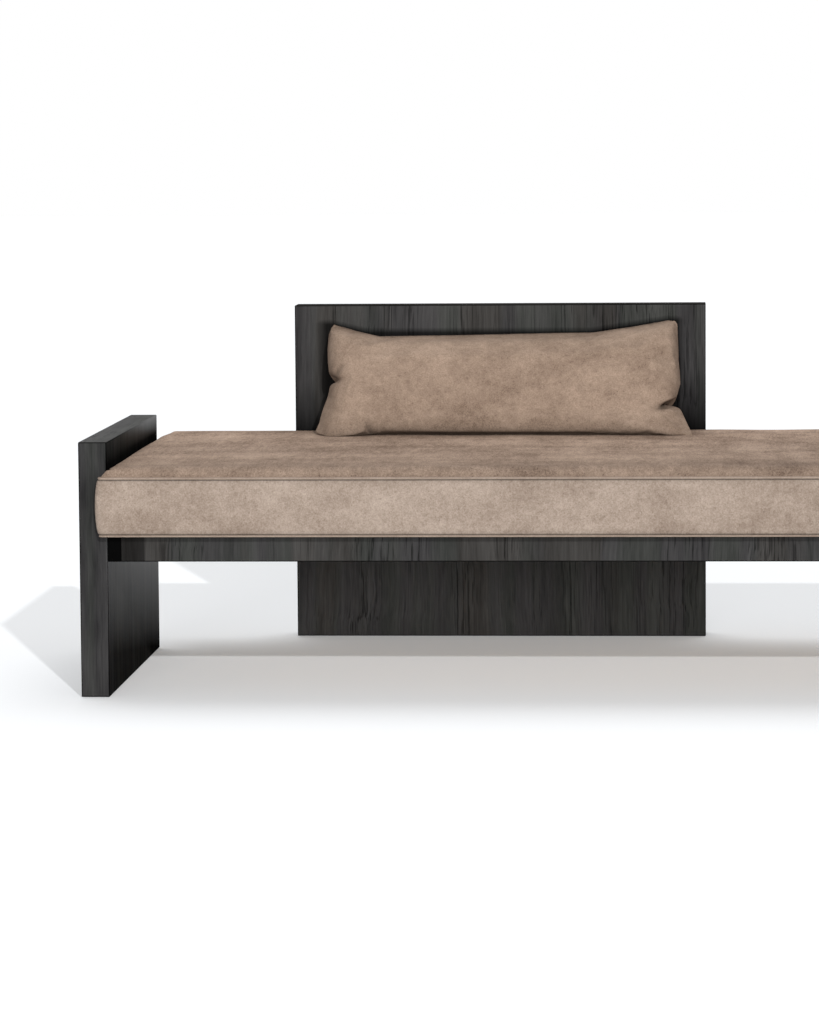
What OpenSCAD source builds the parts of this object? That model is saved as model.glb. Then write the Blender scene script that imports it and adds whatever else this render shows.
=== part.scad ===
// Daybed bench: a slim platform between two end panels, with an upright slab behind it that
// stands on the floor as third leg and backrest, a loose piped leather mattress and one pillow.
// X runs along the bench, +Y to the back, +Z up; the origin is on the floor under the middle.

/* [Bench] */
// Overall length over the end panels
bench_w = 2100; // [1900:10:2500]
// Height of the platform's top above the floor
seat_h = 285; // [260:5:320]
// Bevel along the edges of every oak board
arris = 1; // [0.5:0.25:2]

/* [End panels] */
// Thickness of an end panel
end_panel_t = 50; // [40:1:70]
// Depth of an end panel, front to back
end_panel_d = 690; // [600:5:760]
// Height of an end panel's top above the floor
end_panel_h = 450; // [420:5:500]

/* [Back panel] */
// Width of the back panel
back_panel_w = 800; // [780:10:1000]
// Thickness of the back panel
back_panel_t = 70; // [50:1:90]
// Height of the back panel's top above the floor
back_panel_h = 650; // [640:5:720]
// From the bench's left end to the back panel's left edge
back_panel_inset = 300; // [200:10:400]

/* [Platform] */
// Depth of the platform, front to back
platform_d = 874; // [840:2:920]
// Thickness of the platform
platform_t = 45; // [40:1:60]
// Thickness of the oak fascia boards
fascia_t = 20; // [18:1:24]
// Width of the black side section, seen as a dark strip beside the fascia
side_section_w = 22.5; // [20:0.5:30]
// Sheet thickness of the steel sections
sheet_t = 2; // [1.5:0.25:2.5]
// Width of the inner beams
beam_w = 25; // [22:1:30]
// How far the inner beams stay above the fascia's lower edge
beam_lift = 5; // [2:1:8]
// Thickness of the plywood deck
deck_t = 12; // [9:1:15]
// Gap all round the deck
deck_play = 0.5; // [0.3:0.1:1]
// Thickness of the end caps of the side sections
cap_t = 3; // [2:0.5:4]
// Depth of the plug behind a cap
cap_plug = 14; // [10:1:20]
// Gap between a plug and the section's wall
cap_play = 0.15; // [0.1:0.05:0.3]

/* [Fasteners] */
// Diameter of the joint bolts
bolt_d = 8; // [6:1:8]
// Gap round a bolt in its holes
bolt_play = 0.25; // [0.1:0.05:0.5]
// Diameter of a bolt's head
bolt_head_d = 13; // [12:0.5:14]
// Height of a bolt's head
bolt_head_h = 8; // [5:0.5:9]
// Hexagon key size of the bolts, across the flats
bolt_key = 6; // [5:1:6]
// Diameter of the washers
washer_d = 16; // [15:0.5:17]
// Thickness of the washers
washer_t = 1.6; // [1:0.1:2]
// Diameter of the tool holes through which the bolts go in
tool_hole_d = 18; // [17.5:0.5:20]
// Outer diameter of the threaded inserts
insert_d = 12; // [11:0.5:14]
// Length of the threaded inserts
insert_l = 22; // [15:1:28]
// Gap round an insert in its hole, and round a thread in its insert
thread_play = 0.05; // [0.03:0.01:0.1]
// Bolts in each end panel
end_bolt_count = 3; // [2:1:5]
// Distance of the outer bolts from the end panel's front and rear edges
end_bolt_edge = 95; // [60:5:150]
// Least distance of a bolt from the back panel's edges
back_bolt_edge = 45; // [40:5:100]
// Diameter of the wood screws
screw_d = 4.5; // [4:0.5:5]
// Diameter of the screws' heads
screw_head_d = 8.5; // [8:0.5:9.5]
// Length of a fascia screw under its head
fascia_screw_l = 16; // [12:1:18]
// Length of a deck screw, head included
deck_screw_l = 20; // [18:1:24]
// Screws in each fascia
fascia_screw_count = 8; // [4:1:12]
// Screws along each cross beam
deck_screw_rows = 4; // [3:1:6]

/* [Glides] */
// Diameter of a glide
glide_d = 30; // [25:1:40]
// Depth of the recess that holds a glide
glide_recess = 4; // [3:0.5:6]
// How far a glide stands out of the panel
glide_proud = 1; // [0.5:0.25:1.4]
// Distance of the glides from the panel's ends
glide_edge = 60; // [40:5:120]

/* [Seat mattress] */
// How far the mattress seam stands in front of the platform
overhang = 24; // [18:1:32]
// Height from the lower seam to the upper seam
border_h = 100; // [80:1:130]
// Rise of the crown above the upper seam
crown_h = 18; // [10:1:24]
// Depth of the curved zone of the crown at the front
crown_run = 60; // [50:5:120]
// How far the border swells between its seams at the free front
border_swell = 5; // [2:0.5:7]
// Diameter of the piping
piping_d = 5; // [4:0.5:6]
// Thickness of the leather of the top panel
leather_t = 1.5; // [1:0.25:2]
// Thickness of the border's leather with its lining
border_t = 3; // [2:0.5:4]
// Thickness of the bottom panel
bottom_t = 2; // [1:0.5:3]
// Gap between the piping and the end panels
mattress_play = 0.5; // [0.4:0.1:2]
// Gap between the rear seam and the back panel
rear_gap = 4; // [3.5:0.5:8]
// Distance of the zip's ends from the mattress's sides
zip_edge = 197; // [60:1:400]
// Width of the zip's tape
zip_w = 26; // [20:1:32]

/* [Lumbar pillow] */
// Width of the pillow over its lower corners
pillow_w = 722; // [600:2:760]
// How much narrower the pillow is at each upper corner
pillow_taper = 27; // [0:1:40]
// Height of the upper seam above the mattress at mid-width
pillow_rise = 184; // [160:2:210]
// How far the lower corners stand in front of mid-width
pillow_toe = 50; // [0:5:60]
// How much higher the upper corners stand than mid-width
pillow_ears = 29; // [10:1:35]
// How far the lower seam stands in front of the back panel
pillow_foot = 122; // [100:2:140]
// How far the upper seam stands in front of the back panel
pillow_head = 12; // [8:1:20]
// Swell of the front face
pillow_front_swell = 58; // [40:1:70]
// Swell of the back face, before it meets the back panel
pillow_back_swell = 72; // [60:1:90]
// Draw of the side seams at mid-height
pillow_draw = 14; // [5:1:20]
// Offset of the pillow's middle from the back panel's middle
pillow_offset = 7; // [-30:1:30]
// Thickness of the pillow's leather
pillow_cover_t = 1.5; // [1:0.25:2.5]
// Gap between the pillow and what it leans on
rest_gap = 0.3; // [0.3:0.05:0.5]

/* [Hidden] */
$fn = 32;
eps = 0.01;

// Places along Z
platform_z = seat_h - platform_t;
beam_z = platform_z + beam_lift;
beam_h = platform_t - deck_t - beam_lift;
section_mid_z = platform_z + platform_t / 2;
beam_mid_z = beam_z + beam_h / 2;

// Places along Y: the deepest outline is centred on the origin
front_reach = overhang + border_swell;
total_d = front_reach + platform_d + back_panel_t;
front_y = front_reach - total_d / 2;
platform_back_y = front_y + platform_d;

// Places along X
half_w = bench_w / 2;
inner_half = half_w - end_panel_t;
fascia_half = inner_half - side_section_w;
back_panel_x = -half_w + back_panel_inset;
back_panel_mid = back_panel_x + back_panel_w / 2;

// Inner beams, with four cross beams between them
cross_beams = 4;
beam_y0 = front_y + fascia_t;
beam_y1 = platform_back_y - fascia_t;
cross_y0 = beam_y0 + beam_w;
cross_y1 = beam_y1 - beam_w;
function cross_x(i) = fascia_half * (2 * (i + 1) / (cross_beams + 1) - 1);

// Fasteners
bolt_hole_d = bolt_d + 2 * bolt_play;
insert_hole_d = insert_d + 2 * thread_play;
insert_bore_d = bolt_d + 2 * thread_play;
key_round = bolt_key / cos(30);
function spread(i, count, from, to) = from + (to - from) * (count < 2 ? 0.5 : i / (count - 1));
function end_bolt_y(i) =
    front_y + spread(i, end_bolt_count, end_bolt_edge, end_panel_d - end_bolt_edge);
// Screws sit clear of the beams' ends
screw_edge = 60;
function fascia_screw_x(i) =
    spread(i, fascia_screw_count, screw_edge - fascia_half, fascia_half - screw_edge);
// The back panel's bolts stand midway between the screws of the rear fascia
back_bolt_xs = [
    for (i = [0:fascia_screw_count - 2])
        let (x = (fascia_screw_x(i) + fascia_screw_x(i + 1)) / 2)
        if (x > back_panel_x + back_bolt_edge && x < back_panel_x + back_panel_w - back_bolt_edge) x
];
function deck_screw_y(j) = spread(j, deck_screw_rows, cross_y0 + screw_edge, cross_y1 - screw_edge);
screw_head_h = 2.5;
screw_play = 0.15;
pilot_play = 0.05;
pilot_spare = 0.5;
bolt_spare = 1;
screw_hole_d = screw_d + 2 * screw_play;
pilot_d = screw_d + 2 * pilot_play;
screw_tool_d = screw_head_d + 2;

// Mattress: one outline, run by the seams, pipings, border and crown
piping_r = piping_d / 2;
mattress_z = seat_h + rest_gap;
lower_seam_z = mattress_z + piping_r;
upper_seam_z = lower_seam_z + border_h;
seam_half = inner_half - mattress_play - piping_r;
seam_y0 = front_y - overhang;
seam_y1 = platform_back_y - rear_gap;
seam_mid_y = (seam_y0 + seam_y1) / 2;
piping_clear = 0.2;
foam_inset = border_t + piping_clear;
wadding_play = 0.3;
wadding_rim = 0.5;
foam_top_z = upper_seam_z - leather_t - wadding_rim;
// The free front corners swell round the front edges of the end panels
corner_r = 14;
nose_clear = 2.5;
nose_start = 2;
nose_gap = piping_r + nose_clear;
nose_r = (overhang - nose_gap) / 2;
nose_reach = 8.2;
nose_fold = 0.56;
nose_y = front_y - (overhang + nose_gap) / 2;

function nose(a) = [seam_half + nose_reach + nose_r * cos(a), nose_y + nose_r * sin(a)];
function rear_corner(a) =
    [seam_half - corner_r + corner_r * cos(a), seam_y1 - corner_r + corner_r * sin(a)];
// Right half of the seam outline, from the rear to the front
right_side = concat(
    [for (x = [seam_half * 0.25, seam_half * 0.6]) [x, seam_y1]],
    [for (a = [90, 45, 0]) rear_corner(a)],
    [for (t = [0.3, 0.65]) [seam_half, seam_y1 + t * (front_y - seam_y1)]],
    [[seam_half, front_y - nose_start]],
    [for (a = [50, 15, -20, -55, -90]) nose(a)],
    [for (x = [seam_half * 0.6, seam_half * 0.2]) [x, seam_y0]]
);
half_count = len(right_side);
outline = concat(
    right_side,
    [for (i = [half_count - 1:-1:0]) [-right_side[i][0], right_side[i][1]]]
);
outline_n = len(outline);

function unit(v) = v / norm(v);
// Outward normals of the outline, which runs clockwise seen from above
function outward(i) =
    let (d = outline[(i + 1) % outline_n] - outline[(i + outline_n - 1) % outline_n])
    unit([-d[1], d[0]]);
// Full swell in front of the end panels, less along the sides, none at the rear
function swell_at(p) =
    p[1] < front_y - nose_gap ? border_swell
    : p[1] < seam_y1 - corner_r ? min(border_swell, piping_r) - rest_gap
    : 0;
// The outline drawn in by d: square to itself where d is small. Where d is large, it moves in by d
// at the front and by less at the sides and the rear, and the corners' swell is folded up
side_share = 0.215;
rear_share = 0.4;
crown_rim = piping_r + piping_clear;
function drawn_in(d) = [
    for (i = [0:outline_n - 1])
        let (
            p = outline[i],
            side = max(-seam_half, min(seam_half, p[0])),
            inset = crown_rim + (d - crown_rim) * side_share,
            far = p[1] - seam_y0,
            fold = far < overhang ? nose_fold : 1 - (1 + rear_share) * d / (seam_y1 - seam_y0)
        )
        d < nose_r / 2 ? p - outward(i) * d
        : [side * (1 - inset / seam_half), seam_y0 + d + far * fold]
];
function crown(d) = crown_h * (1 - pow(1 - min(d, crown_run) / crown_run, 2.6));
function lifted(points, z) = [for (p = points) [p[0], p[1], z]];

// Side faces between rings of n points, as triangles
function ring_faces(rings, n, closed = false) = [
    for (r = [0:rings - (closed ? 1 : 2)], i = [0:n - 1])
        let (
            a = r * n + i,
            b = r * n + (i + 1) % n,
            s = ((r + 1) % rings) * n
        )
        each [[a, b, s + (i + 1) % n], [a, s + (i + 1) % n, s + i]]
];
function turned(faces) = [for (f = faces) [f[2], f[1], f[0]]];
// Triangles from a middle point to a ring of n points, seen clockwise from above
function cap_faces(middle, ring, n) =
    [for (i = [0:n - 1]) [middle, ring * n + i, ring * n + (i + 1) % n]];

// Pillow: a seam outline in a leaning plane, with a swell on each side of it
mattress_top_z = upper_seam_z + crown_h;
foot = [platform_back_y - pillow_foot, mattress_top_z + rest_gap + pillow_cover_t / 2];
head = [platform_back_y - pillow_head, mattress_top_z + pillow_rise];
lean = unit(head - foot);
// Normal of the leaning plane, to the front and up
lean_out = [-lean[1], lean[0]];
pillow_x = back_panel_mid + pillow_offset;
pillow_cols = 20;
pillow_rows = 8;
filling_play = 0.5;

function seam_point(u, v) =
    let (
        half = pillow_w / 2 - pillow_taper * v - pillow_draw * sin(180 * v) * pow(abs(u), 3),
        up = foot + (head - foot) * v + [0, pillow_ears * pow(abs(u), 2.6) * pow(v, 2)],
        toe = pillow_toe * pow(abs(u), 8) * pow(1 - v, 2)
    )
    [pillow_x + u * half, up[0] - toe, up[1]];
function fullness(u, v) = pow(sin(180 * pow(v, 0.85)), 0.7) * pow(1 - pow(abs(u), 3.5), 0.6);
// A point off the leaning plane, held in front of the back panel and above the mattress
function held(p, off, gap) = [
    p[0],
    min(p[1] + lean_out[0] * off, platform_back_y - gap),
    max(p[2] + lean_out[1] * off, mattress_top_z + gap)
];
// A point of the front or back face, at a depth below the leather's outside
function front_at(u, v, depth) = held(
    seam_point(u, v),
    pillow_cover_t + pillow_front_swell * fullness(u, v) - depth,
    rest_gap + depth
);
function back_at(u, v, depth) = held(
    seam_point(u, v),
    depth - pillow_cover_t - pillow_back_swell * fullness(u, v),
    rest_gap + depth
);

// A closed sheet between two grids of (cols + 1) by (rows + 1) points
module grid_solid(near, far, cols, rows) {
    row = cols + 1;
    n = row * (rows + 1);
    rim = concat(
        [for (i = [0:cols - 1]) i],
        [for (j = [0:rows - 1]) cols + j * row],
        [for (i = [cols:-1:1]) rows * row + i],
        [for (j = [rows:-1:1]) j * row]
    );
    faces = concat(
        [for (j = [0:rows - 1], i = [0:cols - 1])
            let (a = j * row + i)
            each [[a, a + row, a + row + 1], [a, a + row + 1, a + 1]]],
        [for (j = [0:rows - 1], i = [0:cols - 1])
            let (a = n + j * row + i)
            each [[a, a + row + 1, a + row], [a, a + 1, a + row + 1]]],
        [for (k = [0:len(rim) - 1])
            let (a = rim[k], b = rim[(k + 1) % len(rim)])
            each [[a, b, n + b], [a, n + b, n + a]]]
    );
    polyhedron(concat(near, far), faces);
}

// A tube of the piping's section along the seam outline, moved out by half its radius
module piping(z) {
    sides = 6;
    rings = [
        for (i = [0:outline_n - 1])
            let (
                out = outward(i),
                d = [for (s = [0:sides - 1]) 360 * s / sides]
            )
            [for (a = d) [
                outline[i][0] + out[0] * piping_r * cos(a),
                outline[i][1] + out[1] * piping_r * cos(a),
                z + piping_r * sin(a)
            ]]
    ];
    points = [for (ring = rings) each ring];
    polyhedron(points, turned(ring_faces(outline_n, sides, closed = true)));
}

// A board with a small bevel on all its edges, from its lowest corner
module board(size) {
    intersection() {
        linear_extrude(size[2]) beveled(size[0], size[1]);
        translate([0, size[1], 0]) rotate([90, 0, 0]) linear_extrude(size[1]) beveled(size[0], size[2]);
        rotate([90, 0, 90]) linear_extrude(size[0]) beveled(size[1], size[2]);
    }
}

module beveled(w, h) {
    polygon([
        [arris, 0], [w - arris, 0], [w, arris], [w, h - arris],
        [w - arris, h], [arris, h], [0, h - arris], [0, arris]
    ]);
}

// A closed sheet-steel section, w by h outside, along +Y from the origin
module section_y(w, h, l) {
    difference() {
        cube([w, l, h]);
        translate([sheet_t, -eps, sheet_t]) cube([w - 2 * sheet_t, l + 2 * eps, h - 2 * sheet_t]);
    }
}

// The same section along +X
module section_x(w, h, l) {
    difference() {
        cube([l, w, h]);
        translate([-eps, sheet_t, sheet_t]) cube([l + 2 * eps, w - 2 * sheet_t, h - 2 * sheet_t]);
    }
}

// A cap screw along +X: the head stands at negative X, the thread runs from the origin
module cap_bolt(l) {
    rotate([0, 90, 0]) {
        cylinder(d = bolt_d, h = l);
        translate([0, 0, -bolt_head_h]) difference() {
            cylinder(d = bolt_head_d, h = bolt_head_h);
            translate([0, 0, -eps]) cylinder(d = key_round, h = bolt_head_h / 2, $fn = 6);
        }
    }
}

module washer() {
    rotate([0, 90, 0]) difference() {
        cylinder(d = washer_d, h = washer_t);
        translate([0, 0, -eps]) cylinder(d = bolt_hole_d, h = washer_t + 2 * eps);
    }
}

module insert() {
    rotate([0, 90, 0]) difference() {
        cylinder(d = insert_d, h = insert_l);
        translate([0, 0, -eps]) cylinder(d = insert_bore_d, h = insert_l + 2 * eps);
    }
}

module glide_seat(x, y) {
    translate([x, y, glide_proud - eps]) cylinder(d = glide_d + 2 * thread_play, h = glide_recess + eps);
}

module glide(x, y) {
    translate([x, y, 0]) cylinder(d = glide_d, h = glide_proud + glide_recess);
}

// Where the glides of an end panel and of the back panel stand
end_glide_ys = [front_y + glide_edge, front_y + end_panel_d - glide_edge];
end_glide_x = half_w - end_panel_t / 2;
back_glide_xs = [back_panel_x + glide_edge, back_panel_mid, back_panel_x + back_panel_w - glide_edge];
back_glide_y = platform_back_y + back_panel_t / 2;

module left_end_panel() {
    color("#3b3a39") difference() {
        translate([-half_w, front_y, glide_proud])
            board([end_panel_t, end_panel_d, end_panel_h - glide_proud]);
        for (i = [0:end_bolt_count - 1])
            translate([-inner_half + eps, end_bolt_y(i), section_mid_z]) rotate([0, -90, 0])
                cylinder(d = insert_hole_d, h = insert_l + eps);
        for (y = end_glide_ys) glide_seat(-end_glide_x, y);
    }
}

module right_end_panel() {
    mirror([1, 0, 0]) left_end_panel();
}

module back_panel() {
    color("#3b3a39") difference() {
        translate([back_panel_x, platform_back_y, glide_proud])
            board([back_panel_w, back_panel_t, back_panel_h - glide_proud]);
        for (x = back_bolt_xs)
            translate([x, platform_back_y - eps, beam_mid_z]) rotate([-90, 0, 0])
                cylinder(d = insert_hole_d, h = insert_l + eps);
        for (x = back_glide_xs) glide_seat(x, back_glide_y);
    }
}

module end_panel_glides() {
    color("#1c1c1c") for (s = [-1, 1], y = end_glide_ys) glide(s * end_glide_x, y);
}

module back_panel_glides() {
    color("#1c1c1c") for (x = back_glide_xs) glide(x, back_glide_y);
}

// The side sections close the platform's ends and carry it on the end panels
module left_side_section() {
    color("#0c0c0c") difference() {
        translate([-inner_half, front_y + cap_t, platform_z])
            section_y(side_section_w, platform_t, platform_d - 2 * cap_t);
        for (i = [0:end_bolt_count - 1]) {
            translate([-inner_half - eps, end_bolt_y(i), section_mid_z]) rotate([0, 90, 0])
                cylinder(d = bolt_hole_d, h = sheet_t + 2 * eps);
            translate([-fascia_half - sheet_t - eps, end_bolt_y(i), section_mid_z])
                rotate([0, 90, 0]) cylinder(d = tool_hole_d, h = sheet_t + 2 * eps);
        }
    }
}

module right_side_section() {
    mirror([1, 0, 0]) left_side_section();
}

// One cap at each end of each side section: a plate with a plug behind it
module section_caps() {
    plug = sheet_t + cap_play;
    color("#0a0a0a") for (s = [-1, 1], back = [0, 1])
        translate([s < 0 ? -inner_half : fascia_half, 0, platform_z]) {
            translate([0, back ? platform_back_y - cap_t : front_y, 0])
                cube([side_section_w, cap_t, platform_t]);
            translate([plug, back ? platform_back_y - cap_t - cap_plug : front_y + cap_t, plug])
                cube([side_section_w - 2 * plug, cap_plug, platform_t - 2 * plug]);
        }
}

module fascia(y) {
    translate([-fascia_half, y, platform_z]) board([2 * fascia_half, fascia_t, platform_t]);
}

// Pilot holes of the fascia screws, from the beam's side
module pilot_holes(y, turn) {
    for (i = [0:fascia_screw_count - 1])
        translate([fascia_screw_x(i), y, beam_mid_z]) rotate([turn, 0, 0])
            translate([0, 0, -eps]) cylinder(d = pilot_d, h = fascia_screw_l - sheet_t + pilot_spare);
}

module front_fascia() {
    color("#3b3a39") difference() {
        fascia(front_y);
        pilot_holes(beam_y0, 90);
    }
}

module rear_fascia() {
    color("#3b3a39") difference() {
        fascia(beam_y1);
        pilot_holes(beam_y1, -90);
        for (x = back_bolt_xs)
            translate([x, beam_y1 - eps, beam_mid_z]) rotate([-90, 0, 0])
                cylinder(d = bolt_hole_d, h = fascia_t + 2 * eps);
    }
}

// Screw holes of a beam: a small one next to the fascia and a wide one for the driver
module beam_holes(y, turn) {
    for (i = [0:fascia_screw_count - 1]) translate([fascia_screw_x(i), y, beam_mid_z])
        rotate([turn, 0, 0]) translate([0, 0, -eps]) {
            cylinder(d = screw_hole_d, h = sheet_t + 2 * eps);
            translate([0, 0, beam_w - sheet_t]) cylinder(d = screw_tool_d, h = sheet_t + 2 * eps);
        }
}

module front_beam() {
    color("#1a1a1b") difference() {
        translate([-fascia_half, beam_y0, beam_z]) section_x(beam_w, beam_h, 2 * fascia_half);
        beam_holes(beam_y0, -90);
    }
}

module rear_beam() {
    color("#1a1a1b") difference() {
        translate([-fascia_half, cross_y1, beam_z]) section_x(beam_w, beam_h, 2 * fascia_half);
        beam_holes(beam_y1, 90);
        for (x = back_bolt_xs) translate([x, beam_y1 + eps, beam_mid_z])
            rotate([90, 0, 0]) {
                cylinder(d = bolt_hole_d, h = sheet_t + 2 * eps);
                translate([0, 0, beam_w - sheet_t]) cylinder(d = tool_hole_d, h = sheet_t + 2 * eps);
            }
    }
}

module cross_beam(i) {
    color("#1a1a1b") difference() {
        translate([cross_x(i) - beam_w / 2, cross_y0, beam_z])
            section_y(beam_w, beam_h, cross_y1 - cross_y0);
        deck_screw_bores();
    }
}

module cross_beam_1() { cross_beam(0); }
module cross_beam_2() { cross_beam(1); }
module cross_beam_3() { cross_beam(2); }
module cross_beam_4() { cross_beam(3); }

module at_deck_screws() {
    for (i = [0:cross_beams - 1], j = [0:deck_screw_rows - 1])
        translate([cross_x(i), deck_screw_y(j), seat_h]) children();
}

module deck_screw_bores() {
    at_deck_screws() translate([0, 0, -deck_t - sheet_t - eps])
        cylinder(d = pilot_d, h = sheet_t + 2 * eps);
}

module deck_board() {
    deck_half = fascia_half - deck_play;
    color("#b9976a") difference() {
        translate([-deck_half, beam_y0 + deck_play, seat_h - deck_t])
            cube([2 * deck_half, beam_y1 - beam_y0 - 2 * deck_play, deck_t]);
        at_deck_screws() {
            translate([0, 0, -deck_t - eps]) cylinder(d = screw_hole_d, h = deck_t + 2 * eps);
            translate([0, 0, -screw_head_h]) cylinder(
                d1 = screw_hole_d, d2 = screw_head_d + 2 * screw_play, h = screw_head_h + eps
            );
        }
    }
}

module deck_screws() {
    color("#8d8a80") at_deck_screws() {
        translate([0, 0, -deck_screw_l]) cylinder(d = screw_d, h = deck_screw_l - screw_head_h);
        translate([0, 0, -screw_head_h]) cylinder(d1 = screw_d, d2 = screw_head_d, h = screw_head_h);
    }
}

// Pan-head screws inside the beams, which hold the fascias
module fascia_screws() {
    color("#8d8a80") for (i = [0:fascia_screw_count - 1], back = [0, 1])
        translate([fascia_screw_x(i), back ? beam_y1 - sheet_t : beam_y0 + sheet_t, beam_mid_z])
            rotate([back ? -90 : 90, 0, 0]) {
                cylinder(d = screw_d, h = fascia_screw_l);
                translate([0, 0, -screw_head_h]) cylinder(d = screw_head_d, h = screw_head_h);
            }
}

module at_end_bolts() {
    for (s = [0, 1], i = [0:end_bolt_count - 1]) mirror([s, 0, 0])
        translate([-inner_half, end_bolt_y(i), section_mid_z]) rotate([0, 0, 180]) children();
}

module at_back_bolts() {
    for (x = back_bolt_xs)
        translate([x, platform_back_y, beam_mid_z]) rotate([0, 0, 90]) children();
}

// Each bolt goes through a washer, the section's outer wall and into the insert
module end_bolts() {
    grip = sheet_t + washer_t;
    color("#77777a") at_end_bolts() translate([-grip, 0, 0]) cap_bolt(grip + insert_l - bolt_spare);
}

module end_washers() {
    color("#9a9a9c") at_end_bolts() translate([-sheet_t - washer_t, 0, 0]) washer();
}

module end_inserts() {
    color("#b08d4a") at_end_bolts() insert();
}

module back_bolts() {
    grip = fascia_t + sheet_t + washer_t;
    color("#77777a") at_back_bolts() translate([-grip, 0, 0]) cap_bolt(grip + insert_l - bolt_spare);
}

module back_washers() {
    color("#9a9a9c") at_back_bolts() translate([-fascia_t - sheet_t - washer_t, 0, 0]) washer();
}

module back_inserts() {
    color("#b08d4a") at_back_bolts() insert();
}

// Insets of the crown's rings, from the piping to the flat middle
crown_insets = [crown_rim, 8, 16, 28, 44, crown_run];
// The crown's rings from one of its insets inwards, lowered by a depth
function crown_rings(depth, first = 0) = [
    for (k = [first:len(crown_insets) - 1])
        let (d = crown_insets[k])
        lifted(drawn_in(d), upper_seam_z + crown(d) - depth)
];

// A closed solid of rings listed from the bottom up, with a middle point at each end
module crowned(rings, low_z, high_z) {
    n = outline_n;
    middle = n * len(rings);
    polyhedron(
        concat([for (ring = rings) each ring], [[0, seam_mid_y, low_z], [0, seam_mid_y, high_z]]),
        concat(
            turned(cap_faces(middle, 0, n)),
            ring_faces(len(rings), n),
            cap_faces(middle + 1, len(rings) - 1, n)
        )
    );
}

// Crowned leather top
module seat_top_panel() {
    under = crown_rings(leather_t);
    color("#a58e7b") crowned(
        concat([for (k = [len(under) - 1:-1:0]) under[k]], crown_rings(0)),
        upper_seam_z + crown_h - leather_t,
        upper_seam_z + crown_h
    );
}

// Wadding that fills the crown, flat where it lies on the foam
module seat_wadding() {
    depth = leather_t + wadding_play;
    color("#f1efe9") crowned(
        concat([lifted(drawn_in(foam_inset), foam_top_z)], crown_rings(depth, 1)),
        foam_top_z,
        upper_seam_z + crown_h - depth
    );
}

// Standing border between the pipings, swollen at the free front
module seat_border() {
    levels = [0, 0.2, 0.5, 0.8, 1];
    z0 = lower_seam_z + piping_r + piping_clear;
    z1 = upper_seam_z - piping_r - piping_clear;
    outer = [
        for (t = levels)
            [for (i = [0:outline_n - 1])
                let (
                    p = outline[i],
                    b = swell_at(p) * pow(sin(180 * t), 0.8),
                    out = outward(i)
                )
                [p[0] + out[0] * b, p[1] + out[1] * b, z0 + (z1 - z0) * t]]
    ];
    inner = [lifted(drawn_in(border_t), z1), lifted(drawn_in(border_t), z0)];
    rings = concat(outer, inner);
    color("#ac9683") polyhedron(
        [for (ring = rings) each ring],
        ring_faces(len(rings), outline_n, closed = true)
    );
}

module seat_bottom_panel() {
    color("#8f7a69") translate([0, 0, mattress_z]) linear_extrude(bottom_t)
        polygon(drawn_in(crown_rim));
}

module seat_foam_block() {
    z0 = mattress_z + bottom_t;
    color("#e8e0c8") translate([0, 0, z0]) linear_extrude(foam_top_z - z0)
        polygon(drawn_in(foam_inset));
}

module seat_top_piping() { color("#9d8673") piping(upper_seam_z); }
module seat_bottom_piping() { color("#9d8673") piping(lower_seam_z); }

// Zip in the rear border: a flat tape with its closed chain
zip_tape_t = 0.8;
zip_chain_r = 1;
zip_l = 2 * (seam_half - zip_edge);
zip_mid_z = (lower_seam_z + upper_seam_z) / 2;
slider_play = 0.1;
slider_edge = 4;
slider_lap = 1;
module seat_zip() {
    color("#5d5047") union() {
        translate([-zip_l / 2, seam_y1, zip_mid_z - zip_w / 2]) cube([zip_l, zip_tape_t, zip_w]);
        translate([-zip_l / 2, seam_y1 + zip_chain_r, zip_mid_z]) rotate([0, 90, 0])
            cylinder(r = zip_chain_r, h = zip_l, $fn = 24);
    }
}

module seat_zip_slider() {
    body = [12, 1.2, 9];
    pull = [28, 0.8, 6];
    y0 = seam_y1 + 2 * zip_chain_r + slider_play;
    x0 = zip_l / 2 - slider_edge - body[0];
    color("#6f6a63") union() {
        translate([x0, y0, zip_mid_z - body[2] / 2]) cube(body);
        translate([x0 + slider_lap - pull[0], y0, zip_mid_z - pull[2] / 2]) cube(pull);
    }
}

// Points of one pillow face, row by row from the foot to the head, without its outer rows
function face_grid(depth, front, trim = 0) = [
    for (j = [trim:pillow_rows - trim], i = [trim:pillow_cols - trim])
        let (u = 2 * i / pillow_cols - 1, v = j / pillow_rows)
        front ? front_at(u, v, depth) : back_at(u, v, depth)
];

module pillow_front_panel() {
    color("#a38b78")
        grid_solid(face_grid(0, true), face_grid(pillow_cover_t, true), pillow_cols, pillow_rows);
}

module pillow_back_panel() {
    t = pillow_cover_t;
    color("#a38b78") grid_solid(face_grid(t, false), face_grid(0, false), pillow_cols, pillow_rows);
}

// The filling ends one row short of the seam all round
module pillow_filling() {
    depth = pillow_cover_t + filling_play;
    color("#efe9dd") grid_solid(
        face_grid(depth, true, 1), face_grid(depth, false, 1), pillow_cols - 2, pillow_rows - 2
    );
}

left_end_panel();
right_end_panel();
back_panel();
front_fascia();
rear_fascia();
left_side_section();
right_side_section();
section_caps();
front_beam();
rear_beam();
cross_beam_1();
cross_beam_2();
cross_beam_3();
cross_beam_4();
deck_board();
deck_screws();
fascia_screws();
end_bolts();
end_washers();
end_inserts();
back_bolts();
back_washers();
back_inserts();
end_panel_glides();
back_panel_glides();
seat_top_panel();
seat_border();
seat_bottom_panel();
seat_wadding();
seat_foam_block();
seat_top_piping();
seat_bottom_piping();
seat_zip();
seat_zip_slider();
pillow_front_panel();
pillow_back_panel();
pillow_filling();
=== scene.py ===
import math

import bpy
import numpy as np
from mathutils import Matrix, Vector


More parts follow.
